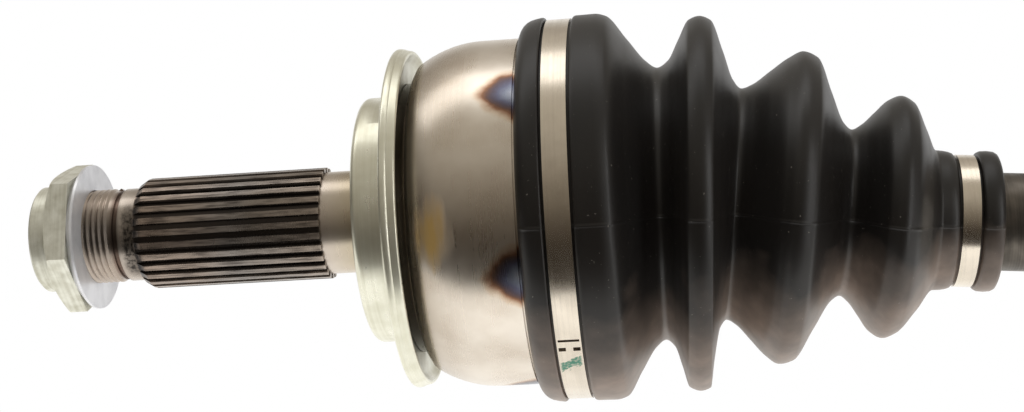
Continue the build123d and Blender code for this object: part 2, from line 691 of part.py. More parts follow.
def make_large_clamp():
    """Stainless ear clamp over the boot's large end, hooked into its own slots near the bottom."""
    section = clamp_section(CLAMP_GROOVE_R + CLAMP_CLEARANCE, LARGE_EAR_TURN)
    clamp = Pos(LARGE_CLAMP_X, 0, 0) * extrude(Plane.YZ * section, LARGE_CLAMP_WIDTH)
    clamp -= hook_slot(HOOK_TURN, 0, HOOK_SLOT_WIDTH, HOOK_SLOT_LENGTH)
    for side in (-1, 1):
        clamp -= hook_slot(WINDOW_TURN, side * WINDOW_SPREAD, WINDOW_WIDTH, WINDOW_LENGTH)
    return clamp


def make_small_clamp():
    """Stainless ear clamp over the boot's small end."""
    section = clamp_section(SMALL_CLAMP_R, SMALL_EAR_TURN)
    return BAR_PLACE * Pos(SMALL_CLAMP_FROM, 0, 0) * extrude(Plane.YZ * section, SMALL_CLAMP_WIDTH)


def main():
    parts = {
        "outer_race": make_outer_race(),
        "dust_deflector": make_dust_deflector(),
        "axle_nut": make_axle_nut(),
        "nut_washer": make_nut_washer(),
        "cage": make_cage(),
        "inner_race": make_inner_race(),
        "shaft_bar": make_shaft_bar(),
        "race_circlip": make_groove_ring(RACE_GROOVE_X, RACE_GROOVE_R, RACE_RING_TURN),
        "race_stop_ring": make_groove_ring(STOP_GROOVE_X, RACE_GROOVE_R, STOP_RING_TURN),
        "inboard_circlip": make_groove_ring(INBOARD_GROOVE_X, INBOARD_GROOVE_R, INBOARD_RING_TURN),
        "boot": make_boot(),
        "large_clamp": make_large_clamp(),
        "small_clamp": make_small_clamp(),
    }
    for number, turn in enumerate(TRACK_TURNS, start=1):
        parts[f"ball_{number}"] = make_ball(turn)
    os.makedirs("parts", exist_ok=True)
    for name, solid in parts.items():
        export_step(solid, f"parts/{name}.step")


main()
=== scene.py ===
# %% [markdown]
# # The wheel end of a front drive shaft
#
# The solids come from the CAD model and stay where they are. This lesson gives them finishes, winds
# the thread that the solids leave plain, and swaps the plain dust deflector and rubber boot for
# finely shaped ones. Blender works in metres, so sizes written in millimetres are multiplied by MM.
# X runs along the stub axle towards the gearbox, and Z is up.

# %% Load the solids and look at what is there
import bmesh
import bpy
import math
from mathutils import Matrix, Vector


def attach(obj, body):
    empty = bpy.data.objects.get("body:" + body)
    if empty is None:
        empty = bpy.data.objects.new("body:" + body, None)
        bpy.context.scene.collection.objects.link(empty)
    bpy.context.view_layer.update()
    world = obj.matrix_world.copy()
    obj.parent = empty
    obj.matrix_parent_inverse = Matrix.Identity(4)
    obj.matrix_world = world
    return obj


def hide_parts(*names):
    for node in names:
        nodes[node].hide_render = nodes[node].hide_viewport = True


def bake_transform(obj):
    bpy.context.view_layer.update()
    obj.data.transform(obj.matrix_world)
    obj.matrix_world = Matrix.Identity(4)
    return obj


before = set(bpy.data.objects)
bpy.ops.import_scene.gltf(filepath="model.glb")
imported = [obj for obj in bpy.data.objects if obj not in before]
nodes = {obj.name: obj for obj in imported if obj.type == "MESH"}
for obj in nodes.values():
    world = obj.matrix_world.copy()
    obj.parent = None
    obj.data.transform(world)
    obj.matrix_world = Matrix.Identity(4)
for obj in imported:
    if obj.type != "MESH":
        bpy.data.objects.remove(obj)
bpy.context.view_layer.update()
MM = 0.001
for node_name in sorted(nodes):
    print(node_name, len(nodes[node_name].data.polygons), "faces")


# %% [markdown]
# A colour picked from a screen is in sRGB, where the numbers are spread out for the eye. Blender
# mixes light in linear numbers, so one function turns every hex colour into linear ones.


# %% Colours
def colour(hex_text):
    """A hex sRGB colour as linear red, green, blue and alpha."""
    parts = [int(hex_text[i : i + 2], 16) / 255 for i in (1, 3, 5)]
    linear = [c / 12.92 if c <= 0.04045 else ((c + 0.055) / 1.055) ** 2.4 for c in parts]
    return (*linear, 1.0)


print("middle grey #808080 is", round(colour("#808080")[0], 3), "in linear numbers")


# %% [markdown]
# A material or a geometry recipe is a tree of nodes. One small helper adds a node, sets its options
# and joins its inputs, so that each recipe below reads from top to bottom like a list. An input can
# be given a plain value, a socket, or a whole node, which then passes on its first output.


# %% Node helper
def join(tree, node, wires):
    """Set a node's inputs, found by name or number, from nodes, sockets or plain values."""
    for key, value in wires.items():
        if isinstance(value, bpy.types.Node):
            value = value.outputs[0]
        if isinstance(value, bpy.types.NodeSocket):
            tree.links.new(value, node.inputs[key])
        else:
            node.inputs[key].default_value = value


def add(tree, kind, *wires, stops=None, **settings):
    """Add one node; a kind that names no family of nodes is a shader node.

    Each wire is a value for the next input, or a dictionary of values by an input's name or number.
    """
    node = tree.nodes.new(kind if "Node" in kind else "ShaderNode" + kind)
    for name, setting in settings.items():
        setattr(node, name, setting)
    for number, wire in enumerate(wires):
        join(tree, node, wire if isinstance(wire, dict) else {number: wire})
    if stops:
        elements = node.color_ramp.elements
        while len(elements) < len(stops):
            elements.new(1.0)
        for element, (place, tone) in zip(elements, stops):
            element.position = place
            element.color = colour(tone) if isinstance(tone, str) else (tone, tone, tone, 1)
    return node


# %% [markdown]
# Most patterns below are masks: numbers from 0 to 1 that say how much of a colour shows. A mask can
# be a soft-edged strip of some coordinate, or the places that several masks share. A finish is then
# built up like paint, with one coat over another.


# %% Masks and coats
def overlap(tree, *masks):
    """Where all the masks show; a plain number among them makes the result fainter."""
    shared = masks[0]
    for mask in masks[1:]:
        shared = add(tree, "Math", shared, mask, operation="MULTIPLY")
    return shared


def between(tree, value, low, high, edge):
    """1 where the value lies between low and high, fading to 0 over the edge's width."""
    rising = add(tree, "MapRange", value, low - edge, low + edge)
    falling = add(tree, "MapRange", value, high + edge, high - edge)
    return overlap(tree, rising, falling)


def coats(tree, under, *layers):
    """Lay colours over one another; each layer is a mask and the colour that it lets show."""
    for mask, over in layers:
        over = colour(over) if isinstance(over, str) else over
        under = add(tree, "Mix", {0: mask, 6: under, 7: over}, data_type="RGBA").outputs[2]
    return under


# %% [markdown]
# Nearly every metal part here is turned, so its pattern is read from two numbers: the place along the
# axle and the angle round it. Laid flat by those two, the surface can carry noise that is drawn out
# round the part, as a lathe's grooves are, or along it, as smears of oil on a spline are.


# %% Coordinates along and round the axle
def own_place(tree):
    """The piece's own coordinates, in millimetres."""
    place = add(tree, "TexCoord").outputs["Object"]
    return add(tree, "VectorMath", {0: place, "Scale": 1 / MM}, operation="SCALE")


def blank_material(name):
    """A new material with its node tree, its shader, and the piece's own coordinates."""
    material = bpy.data.materials.new(name)
    material.use_nodes = True
    tree = material.node_tree
    return material, tree, tree.nodes["Principled BSDF"], own_place(tree)


def round_the_axle(tree, place):
    """Millimetres along the axle, angle in radians from the side that faces -Y, and radius."""
    x, y, z = add(tree, "SeparateXYZ", place).outputs
    angle = add(tree, "Math", z, add(tree, "Math", y, -1.0, operation="MULTIPLY"), operation="ARCTAN2")
    y_squared = add(tree, "Math", y, y, operation="MULTIPLY")
    square = add(tree, "Math", z, z, y_squared, operation="MULTIPLY_ADD")
    return x, angle, add(tree, "Math", square, operation="SQRT")


def laid_flat(tree, x, angle, along, around):
    """The turned surface as a plane, with one scale along the axle and one round it."""
    flat_x = add(tree, "Math", x, along, operation="MULTIPLY")
    flat_y = add(tree, "Math", angle, around, operation="MULTIPLY")
    return add(tree, "CombineXYZ", flat_x, flat_y)


def turned_marks(tree, x, angle, per_mm):
    """Noise drawn out round the part, as the fine grooves that a lathe tool leaves."""
    where = laid_flat(tree, x, angle, per_mm, 0.6)
    return add(tree, "TexNoise", {"Vector": where, "Scale": 1.0, "Detail": 3.0})


# %% [markdown]
# ## Forged steel of the bell and stub axle
# The bell and axle are one forging of carbon steel. Its outside is turned and ground but not plated,
# so it is a warm grey with a soft gloss, and it mirrors the table and lamps in broad bands. The
# thread is rolled and oiled, which leaves it browner. One ramp along the axle changes the colour
# from zone to zone, and slow noise keeps each zone from being flat.

# %% Forged steel: zones along the axle
forged, tree, shader, place = blank_material("forged_carbon_steel")
x, angle, radius = round_the_axle(tree, place)
lathe = turned_marks(tree, x, angle, 1.1)
ZONES = [
    (-90.0, "#b4a89d"),  # thread
    (-66.2, "#b9ada2"),
    (-65.2, "#756359"),  # dark line where the thread runs out
    (-63.9, "#66564d"),
    (-63.5, "#c8bfb6"),  # neck
    (-59.6, "#aca298"),
    (-59.0, "#a8988c"),  # spline
    (-45.0, "#9a8d83"),
    (-33.0, "#8f8a86"),
    (-11.6, "#a3978c"),
    (-11.2, "#d0c6bc"),  # plain stub behind the spline
    # painted shade: from -1 mm the colour darkens into the groove behind the deflector at 13.9 mm, and
    # the bell is painted darker near the deflector as a dark reflection, fading out towards 32 mm
    (-1.0, "#c3b79c"),
    (13.9, "#4a433c"),  # shoulder behind the deflector
    (14.5, "#b5aba0"),  # bell
    (19.0, "#cdc4b8"),
    (25.0, "#dcd3c7"),
    (32.0, "#e6ddd1"),
]
ZONES_FROM, ZONES_TO = -90.0, 60.0
span = add(tree, "MapRange", x, ZONES_FROM, ZONES_TO)
stops = [((at - ZONES_FROM) / (ZONES_TO - ZONES_FROM), tone) for at, tone in ZONES]
base = add(tree, "ValToRGB", span, stops=stops)
cloud = add(tree, "TexNoise", {"Vector": place, "Scale": 0.05, "Detail": 4.0})
mottle = add(tree, "ValToRGB", cloud, stops=[(0.35, "#d9d2ca"), (0.62, "#ffffff")])
mottled = add(tree, "Mix", {0: 0.75, 6: base, 7: mottle}, data_type="RGBA", blend_type="MULTIPLY")
steel = mottled.outputs[2]
print("forged steel has", len(stops), "zones")

# %% [markdown]
# The spline's roots are painted dark, as painted shade. They are found by their radius, so the shade
# follows every tooth, and a smear of dark oil lies in lengthwise streaks over the tips. The groove on
# the shoulder behind the deflector is painted dark as shade, and the fronts of the coarse neck beside
# the spline and of the thread are painted darker as a dark reflection.

# %% Forged steel: oil streaks and painted shade
AXLE_MAX_R = 15.0
ROOT_R, TIP_R = 13.25, 14.1
TEETH_FROM, TEETH_TO = -59.0, -11.4
SHOULDER_R = 37.6
on_axle = add(tree, "Math", radius, AXLE_MAX_R, operation="LESS_THAN")
in_teeth = between(tree, x, TEETH_FROM, TEETH_TO, 0.3)
# painted shade in the spline's roots, found by radius
painted_root_shade = add(tree, "MapRange", radius, TIP_R, ROOT_R)
lengthwise = laid_flat(tree, x, angle, 0.16, 22.0)
streak = add(tree, "TexNoise", {"Vector": lengthwise, "Scale": 1.0, "Detail": 4.0})
smeared = add(tree, "MapRange", streak, 0.42, 0.66)
on_shoulder = add(tree, "Math", radius, SHOULDER_R, operation="LESS_THAN")
# painted shade in the groove behind the deflector's flange
painted_groove_shade = between(tree, x, 11.0, 13.5, 0.15)
speckle = add(tree, "TexNoise", {"Vector": place, "Scale": 1.1, "Detail": 3.0})
speck = add(tree, "MapRange", speckle, 0.44, 0.6)
speckled = add(tree, "Math", speck, 0.35, 0.6, operation="MULTIPLY_ADD")
# painted dark reflection, with speckles, on the front of the coarse neck only
painted_neck_reflection = overlap(tree, between(tree, x, -62.6, -57.4, 0.9), between(tree, angle, -1.0, 0.62, 0.2))
# painted dark reflection on the front of the thread only
painted_thread_reflection = overlap(tree, between(tree, x, -95.0, -63.2, 0.6), between(tree, angle, -0.42, 0.5, 0.3))
steel = coats(
    tree,
    steel,
    (overlap(tree, painted_root_shade, in_teeth, on_axle, 0.9), "#1c1715"),
    (overlap(tree, smeared, in_teeth, on_axle, 0.75), "#3c3531"),
    (overlap(tree, painted_groove_shade, on_shoulder, 0.9), "#24201d"),
    (overlap(tree, painted_neck_reflection, speckled, on_axle), "#221f1d"),
    (overlap(tree, painted_thread_reflection, 0.72), "#2b2825"),
)
# the dark in the roots is painted shade
print("oil fills the spline's roots from", TIP_R, "down to", ROOT_R, "mm from the axis")

# %% [markdown]
# The six ball tracks inside the bell are hardened with an induction coil, and the heat that comes
# through the wall tints the bare steel outside: blue where it got hottest, then violet, brown and
# straw yellow. The colours are a thin oxide film, so here they only change the metal's colour and
# not its gloss. One spot is drawn in a sector of 60 degrees, and wrapping the angle repeats it six
# times. The angle times the radius gives millimetres round the bell.

# %% Forged steel: heat tints
FIRST_SPOT_DEGREES = 39.5
HALF_SECTOR = math.radians(30)
SPOT_HALF_WIDTH, SPOT_LENGTH = 9.3, 11.0
SPOT_END_X = 41.5
SPOT_ROUNDNESS = 1.45
TINTS = [
    (0.0, "#979aa4"),
    (0.24, "#6f7789"),
    (0.40, "#454a66"),
    (0.53, "#372d42"),
    (0.64, "#4f3029"),
    (0.76, "#8f5c33"),
    (0.88, "#c4a17a"),
    (1.0, "#e0d4c4"),
]
turned = add(tree, "Math", angle, math.radians(FIRST_SPOT_DEGREES), operation="SUBTRACT")
sector = add(tree, "Math", turned, HALF_SECTOR, -HALF_SECTOR, operation="WRAP")
mm_round = add(tree, "Math", sector, radius, operation="MULTIPLY")
across = add(tree, "Math", mm_round, SPOT_HALF_WIDTH, operation="DIVIDE")
across = add(tree, "Math", across, operation="ABSOLUTE")
mm_ahead = add(tree, "Math", SPOT_END_X, x, operation="SUBTRACT")
mm_ahead = add(tree, "Math", mm_ahead, 0.0, operation="MAXIMUM")
ahead = add(tree, "Math", mm_ahead, SPOT_LENGTH, operation="DIVIDE")
across = add(tree, "Math", across, SPOT_ROUNDNESS, operation="POWER")
ahead = add(tree, "Math", ahead, SPOT_ROUNDNESS, operation="POWER")
corner = add(tree, "Math", across, ahead, operation="ADD")
even = add(tree, "Math", corner, 1 / SPOT_ROUNDNESS, operation="POWER")
wander = add(tree, "TexNoise", {"Vector": place, "Scale": 0.22, "Detail": 3.0})
wobble = add(tree, "Math", wander, 0.32, -0.16, operation="MULTIPLY_ADD")
spot = add(tree, "Math", even, wobble, operation="ADD")
tint = add(tree, "ValToRGB", spot, stops=TINTS)
fade = add(tree, "ValToRGB", spot, stops=[(0.70, 0.92), (1.0, 0.0)])
wide = add(tree, "Math", radius, 36.0, operation="GREATER_THAN")
far = add(tree, "Math", x, 20.0, operation="GREATER_THAN")
steel = coats(tree, steel, (overlap(tree, fade, wide, far), tint))
print("heat spots every 60 degrees, first at", FIRST_SPOT_DEGREES, "degrees above the front")

# %% [markdown]
# The bell was dabbed with yellow marking paint and wiped, which leaves a thin olive stain. Paint and
# the oil film on the stub axle scatter light as the bare metal doesn't, so there it is less
# metallic. The lathe's grooves and the slow cloud set the gloss, and break up the reflections. The
# real grooves are too fine to show, so these are drawn about a millimetre wide.

# %% Forged steel: stain and gloss
STAIN_X, STAIN_ANGLE = 21.0, math.radians(-5.5)
STAIN_HALF_LENGTH, STAIN_HALF_TURN = 5.2, math.radians(13)
STAIN_MIN_R = 34.5
GROOVE_DEPTH = 0.05 * MM
stain_x = add(tree, "Math", x, STAIN_X, operation="SUBTRACT")
stain_x = add(tree, "Math", stain_x, STAIN_HALF_LENGTH, operation="DIVIDE")
stain_a = add(tree, "Math", angle, STAIN_ANGLE, operation="SUBTRACT")
stain_a = add(tree, "Math", stain_a, STAIN_HALF_TURN, operation="DIVIDE")
square = add(tree, "Math", stain_a, stain_a, operation="MULTIPLY")
oval = add(tree, "Math", stain_x, stain_x, square, operation="MULTIPLY_ADD")
wiped_way = laid_flat(tree, x, angle, 0.45, 3.0)
brushed = add(tree, "TexNoise", {"Vector": wiped_way, "Scale": 1.0, "Detail": 3.0})
brushed = add(tree, "Math", brushed, 1.5, -0.75, operation="MULTIPLY_ADD")
ragged = add(tree, "Math", oval, brushed, operation="ADD")
wiped = add(tree, "ValToRGB", ragged, stops=[(0.0, 0.8), (1.0, 0.0)])
outside = add(tree, "Math", radius, STAIN_MIN_R, operation="GREATER_THAN")
stain = overlap(tree, wiped, outside)
steel = coats(tree, steel, (stain, "#b08a2c"))
oil = add(tree, "Math", in_teeth, 0.14, 0.12, operation="MULTIPLY_ADD")
unpainted = add(tree, "Math", stain, -0.75, 1.0, operation="MULTIPLY_ADD")
metallic = add(tree, "Math", unpainted, overlap(tree, on_axle, oil), operation="SUBTRACT")
gloss = add(tree, "Math", lathe, 0.08, 0.18, operation="MULTIPLY_ADD")
gloss = add(tree, "Math", cloud, 0.12, gloss, operation="MULTIPLY_ADD")
raised = add(tree, "Bump", {"Height": lathe, "Strength": 0.03, "Distance": GROOVE_DEPTH})
join(tree, shader, {"Base Color": steel, "Metallic": metallic, "Roughness": gloss, "Normal": raised})
print("forged steel has", len(tree.nodes), "nodes")


# %% [markdown]
# ## Zinc, stainless steel and the other metals
# The dust deflector is pressed from sheet and zinc plated with a yellowish passivate, and the nut and
# its washer are plated too. A passivate is a thin milky film, so these metals are not fully metallic:
# a part of their light is scattered like paint. The clamp is bright stainless band, the parts inside
# the joint are ground bearing steel, and the bar and its rings carry a dark oxide. They differ only
# in tone, gloss and coarseness, so one function makes them all.


# %% A finish for each metal
def metal(name, bright, dark, roughness, marks_per_mm, bump, metallic=1.0, cloud_per_mm=0.18):
    """A turned or drawn metal with a little cloudiness and fine marks round the axle."""
    material, tree, shader, place = blank_material(name)
    x, angle, _ = round_the_axle(tree, place)
    lathe = turned_marks(tree, x, angle, marks_per_mm)
    faint_lathe = add(tree, "Math", lathe, 0.4, operation="MULTIPLY")
    cloud = add(tree, "TexNoise", {"Vector": place, "Scale": cloud_per_mm, "Detail": 5.0})
    mixed = add(tree, "Math", cloud, 0.6, faint_lathe, operation="MULTIPLY_ADD")
    tone = add(tree, "ValToRGB", mixed, stops=[(0.36, dark), (0.62, bright)])
    glossy, dull = roughness
    gloss = add(tree, "MapRange", mixed, 0.35, 0.65, dull, glossy)
    raised = add(tree, "Bump", {"Height": lathe, "Strength": bump, "Distance": GROOVE_DEPTH})
    join(tree, shader, {"Base Color": tone, "Metallic": metallic, "Roughness": gloss, "Normal": raised})
    print(name, "is metallic", metallic, "and rough", roughness)
    return material


yellow_zinc = metal("yellow_passivated_zinc", "#e9e8d8", "#d6d4c0", (0.26, 0.36), 1.2, 0.05, 0.85)
nut_zinc = metal("clear_passivated_zinc", "#e2e2d6", "#bebcab", (0.34, 0.5), 1.5, 0.05, 0.55, 0.3)
washer_zinc = metal("plated_washer_zinc", "#e3e4e8", "#cbccd1", (0.3, 0.42), 2.0, 0.05, 0.5)
stainless = metal("stainless_band", "#e2d8c9", "#d2c8b9", (0.18, 0.26), 1.6, 0.04)
bearing_steel = metal("ground_bearing_steel", "#c9c7c2", "#b1aea8", (0.12, 0.2), 3.0, 0.04)
oxide_bar = metal("oxide_coated_bar", "#6a645d", "#4a4641", (0.34, 0.48), 2.0, 0.10)
spring_steel = metal("phosphated_spring_steel", "#57534e", "#3b3835", (0.4, 0.55), 3.0, 0.06)

# %% [markdown]
# An inspector's dab of green paint sits on the large clamp band. It is a slanted patch with ragged
# edges, found by the same two numbers as before, so the material needs no picture.

# %% Green dab on the large clamp
DAB_X, DAB_ANGLE = 50.6, math.radians(-49.9)
DAB_FROM, DAB_TO = 48.1, 53.0
DAB_HALF_TURN = 0.033
DAB_LEAN_PER_MM = 0.012
dabbed = stainless.copy()
dabbed.name = "stainless_band_with_green_dab"
tree = dabbed.node_tree
shader = tree.nodes["Principled BSDF"]
plain = shader.inputs["Base Color"].links[0].from_socket
place = own_place(tree)
x, angle, _ = round_the_axle(tree, place)
lean = add(tree, "Math", x, DAB_LEAN_PER_MM, -DAB_X * DAB_LEAN_PER_MM, operation="MULTIPLY_ADD")
upright = add(tree, "Math", angle, lean, operation="SUBTRACT")
off_middle = add(tree, "Math", upright, DAB_ANGLE, operation="SUBTRACT")
edge_noise = add(tree, "TexNoise", {"Vector": place, "Scale": 0.9, "Detail": 4.0})
rough_edge = add(tree, "Math", edge_noise, 0.09, -0.045, operation="MULTIPLY_ADD")
ragged = add(tree, "Math", off_middle, rough_edge, operation="ADD")
streaky = add(tree, "TexNoise", {"Vector": place, "Scale": 1.6, "Detail": 2.0})
thick = add(tree, "MapRange", streaky, 0.38, 0.52)
cover = add(tree, "Math", thick, 0.5, 0.45, operation="MULTIPLY_ADD")
high_enough = between(tree, ragged, -DAB_HALF_TURN, DAB_HALF_TURN, 0.006)
dab = overlap(tree, high_enough, between(tree, x, DAB_FROM, DAB_TO, 0.25), cover)
metallic = add(tree, "Math", dab, -0.9, 1.0, operation="MULTIPLY_ADD")
join(tree, shader, {"Base Color": coats(tree, plain, (dab, "#1f7a63")), "Metallic": metallic})
print("green dab is", round(DAB_TO - DAB_FROM, 1), "mm wide")

# %% [markdown]
# Each solid came with a plain stand-in material in its slots. A table of names and finishes puts the
# real ones there in one pass, and a piece with several slots gets its finish in all of them.

# %% Put the finishes on the solids
FINISH = {
    "outer_race": forged,
    "dust_deflector": yellow_zinc,
    "axle_nut": nut_zinc,
    "nut_washer": washer_zinc,
    "large_clamp": dabbed,
    "small_clamp": stainless,
    "shaft_bar": oxide_bar,
    "inner_race": bearing_steel,
    "cage": bearing_steel,
    "race_circlip": spring_steel,
    "race_stop_ring": spring_steel,
    "inboard_circlip": spring_steel,
}
for number in range(1, 7):
    FINISH[f"ball_{number}"] = bearing_steel
for node_name, finish in FINISH.items():
    for slot in nodes[node_name].material_slots:
        slot.material = finish
    print(node_name, "wears", finish.name)

# %% [markdown]
# ## Turned shells
# The deflector and the boot are both hollow shells of rings. A function takes a closed row of
# rings, each a list of points, and joins every ring to the next one and the last to the first. The
# order in which corners are joined decides which way a face points, so Blender then turns the
# faces outwards, which it can because a closed shell has only one outside.


# %% Shell made of rings
def ring_shell(name, rings, material, sharp_degrees):
    """A closed mesh through rings of equally many points, shaded smooth up to an angle."""
    count = len(rings[0])
    faces = []
    for i in range(len(rings)):
        j = (i + 1) % len(rings)
        for k in range(count):
            m = (k + 1) % count
            faces.append((i * count + k, i * count + m, j * count + m, j * count + k))
    mesh = bpy.data.meshes.new(name)
    mesh.from_pydata([point for ring in rings for point in ring], [], faces)
    shell = bmesh.new()
    shell.from_mesh(mesh)
    bmesh.ops.recalc_face_normals(shell, faces=shell.faces)
    shell.to_mesh(mesh)
    shell.free()
    mesh.shade_smooth()
    mesh.set_sharp_from_angle(angle=math.radians(sharp_degrees))
    mesh.materials.append(material)
    piece = bpy.data.objects.new(name, mesh)
    bpy.context.scene.collection.objects.link(piece)
    print(name, "has", len(faces), "faces")
    return piece


def arc(centre_x, centre_r, size, start, end, steps):
    """Points of a rounded corner in the half plane of x and radius, angles in degrees."""
    turns = [math.radians(start + (end - start) * i / steps) for i in range(steps + 1)]
    return [(centre_x + size * math.cos(t), centre_r + size * math.sin(t)) for t in turns]


# %% [markdown]
# ## Dust deflector
# The real deflector is one pressed sheet: a sleeve whose free edge is rolled over, and a flange whose
# rim is turned back towards the bell. The solid has square corners, which catch no light. Here its
# outline is drawn again with those roundings, as points in x and radius, and turned in 192 steps.

# %% Dust deflector outline and mesh
LAND_R = 31.0
BORE_R = 28.5
LIP_R = 42.85
EDGE = 0.3
TURN_STEPS = 192
# the rolled free edge, the land that the seal runs on, and the foot of the flange
outline = arc(1.7, LAND_R - 1.7, 1.7, 180, 90, 7)
outline += [(3.0, LAND_R), (8.1, LAND_R)] + arc(8.1, LAND_R + 1.1, 1.1, -90, 0, 5)
# the front of the flange, its rounded rim with a fine line, and the lip turned back
outline += [(9.2, 36.0), (9.2, 41.9)] + arc(10.05, LIP_R - 0.85, 0.85, 180, 82, 7)
outline += [(11.0, 42.66), (11.2, 42.42), (11.45, 42.46), (12.4, 42.2)]
outline += arc(12.5, 41.5, 0.7, 75, -60, 6)
# the back of the flange, and the bore
outline += [(12.3, 40.2), (11.4, 39.0), (11.2, 36.0), (11.2, BORE_R + EDGE), (10.9, BORE_R)]
outline += [(6.0, BORE_R), (EDGE, BORE_R), (0.0, BORE_R + EDGE)]
turns = [2 * math.pi * i / TURN_STEPS for i in range(TURN_STEPS)]
rings = []
for at, r in outline:
    rings.append([(at * MM, -r * MM * math.cos(t), r * MM * math.sin(t)) for t in turns])
deflector = ring_shell("pressed_deflector", rings, yellow_zinc, 40)
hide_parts("dust_deflector")
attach(deflector, "outer_race")

# %% [markdown]
# ## Hub thread
# The solid carries the M24 thread as a plain cylinder at its pitch diameter, because a helix is slow
# to cut in CAD. Geometry Nodes can lay one on top: a spiral is the path, a small trapezium is the
# section of one ridge, and Curve to Mesh sweeps the section along the path. The sizes are named
# inputs, so the same recipe makes any thread.

# %% Thread recipe
THREAD_SIZES = {
    "Pitch": 1.5 * MM,
    "Length": 18.6 * MM,
    "Root radius": 11.45 * MM,
    "Depth": 0.6 * MM,
    "Start": -65.9 * MM,
}
FOOT_SHARE, TIP_SHARE = 0.96, 0.14
recipe = bpy.data.node_groups.new("rolled_thread", "GeometryNodeTree")
recipe.interface.new_socket("Geometry", in_out="INPUT", socket_type="NodeSocketGeometry")
for size_name in THREAD_SIZES:
    recipe.interface.new_socket(size_name, in_out="INPUT", socket_type="NodeSocketFloat")
recipe.interface.new_socket("Material", in_out="INPUT", socket_type="NodeSocketMaterial")
recipe.interface.new_socket("Geometry", in_out="OUTPUT", socket_type="NodeSocketGeometry")
given = add(recipe, "NodeGroupInput").outputs
spiral = add(
    recipe,
    "GeometryNodeCurveSpiral",
    {
        "Resolution": 60,
        "Rotations": add(recipe, "Math", given["Length"], given["Pitch"], operation="DIVIDE"),
        "Start Radius": given["Root radius"],
        "End Radius": given["Root radius"],
        "Height": given["Length"],
        "Reverse": True,
    },
)
path = add(recipe, "GeometryNodeSetCurveNormal", {"Curve": spiral}, mode="Z_UP")
foot = add(recipe, "Math", given["Pitch"], FOOT_SHARE, operation="MULTIPLY")
tip = add(recipe, "Math", given["Pitch"], TIP_SHARE, operation="MULTIPLY")
section_sizes = {"Height": given["Depth"], "Bottom Width": foot, "Top Width": tip, "Offset": 0.0}
section = add(recipe, "GeometryNodeCurvePrimitiveQuadrilateral", section_sizes, mode="TRAPEZOID")
half_depth = add(recipe, "Math", given["Depth"], 0.5, operation="MULTIPLY")
lift = {"Translation": add(recipe, "CombineXYZ", half_depth), "Rotation": (0, 0, -math.pi / 2)}
outward = add(recipe, "GeometryNodeTransform", {"Geometry": section, **lift})
sweep = {"Curve": path, "Profile Curve": outward, "Fill Caps": True}
swept = add(recipe, "GeometryNodeCurveToMesh", sweep)
onto_axle = {"Translation": add(recipe, "CombineXYZ", given["Start"]), "Rotation": (0, -math.pi / 2, 0)}
laid = add(recipe, "GeometryNodeTransform", {"Geometry": swept, **onto_axle})
solid = add(recipe, "GeometryNodeRealizeInstances", laid)
dress = {"Geometry": solid, "Material": given["Material"]}
dressed = add(recipe, "GeometryNodeSetMaterial", dress)
add(recipe, "NodeGroupOutput", dressed)
print("thread recipe has", len(recipe.nodes), "nodes")

# %% [markdown]
# A recipe only works while a modifier holds it. The export wants plain meshes, so a helper hangs the
# recipe on an empty object, evaluates it once, keeps the result, and throws the holder away.


# %% Run the recipe and keep its mesh
def run_recipe(name, recipe, values):
    """Evaluate a node recipe once and return its result as an object with a plain mesh."""
    holder = bpy.data.objects.new(name + "_holder", bpy.data.meshes.new(name + "_holder"))
    bpy.context.scene.collection.objects.link(holder)
    modifier = holder.modifiers.new("recipe", "NODES")
    modifier.node_group = recipe
    for item in recipe.interface.items_tree:
        if item.item_type == "SOCKET" and item.in_out == "INPUT" and item.name in values:
            modifier[item.identifier] = values[item.name]
    finished = holder.evaluated_get(bpy.context.evaluated_depsgraph_get())
    mesh = bpy.data.meshes.new_from_object(finished)
    mesh.name = name
    bpy.data.objects.remove(holder)
    piece = bpy.data.objects.new(name, mesh)
    bpy.context.scene.collection.objects.link(piece)
    print(name, "has", len(mesh.polygons), "faces in", [m.name for m in mesh.materials])
    return piece


thread = run_recipe("hub_thread", recipe, {**THREAD_SIZES, "Material": forged})
thread.data.shade_flat()
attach(thread, "outer_race")

# %% [markdown]
# ## Rubber boot
# The boot is moulded chloroprene rubber: nearly black, with a dull sheen that turns grey where light
# grazes it. It is a row of rings whose radius rises and falls, hung on a centre line that is bent as
# the joint rests, so one table of distances, radii and leans is enough. A smooth curve runs through
# the table, and every ring leans the way that bent rubber lies.

# %% Boot sizes
JOINT_X = 42.0
REST_BEND = math.radians(4.77)
BEND_FROM, BEND_TO = 26.0, 97.7
LIFT = 0.8
WALL = 1.7
BELL_SEAT_R, BAR_SEAT_R = 42.49, 12.45
NECK_R = 17.2
# distance past the joint centre, radius, and lean in degrees
PLEATS = [
    (14.0, 48.14, 0.0),  # first crest
    (17.4, 48.2, 0.0),
    (20.1, 47.5, 0.0),
    (28.7, 35.6, 1.2),  # first valley
    (31.2, 33.95, 1.4),
    (33.6, 35.6, 1.9),
    (38.0, 45.6, 3.2),  # second crest
    (40.6, 46.5, 3.2),
    (43.2, 45.6, 3.2),
    (47.2, 30.8, 6.4),  # second valley
    (49.0, 28.8, 7.0),
    (51.5, 29.9, 7.3),
    (59.6, 37.0, 8.0),  # third crest
    (62.9, 38.75, 8.0),
    (66.3, 37.6, 8.0),
    (74.2, 22.1, 7.5),  # third valley
    (76.3, 20.6, 7.5),
    (78.6, 22.0, 7.6),
    (84.4, 28.6, 8.2),  # fourth crest
    (87.3, 29.9, 8.2),
    (90.2, 28.6, 8.2),
    (BEND_TO, NECK_R, 4.77),
]
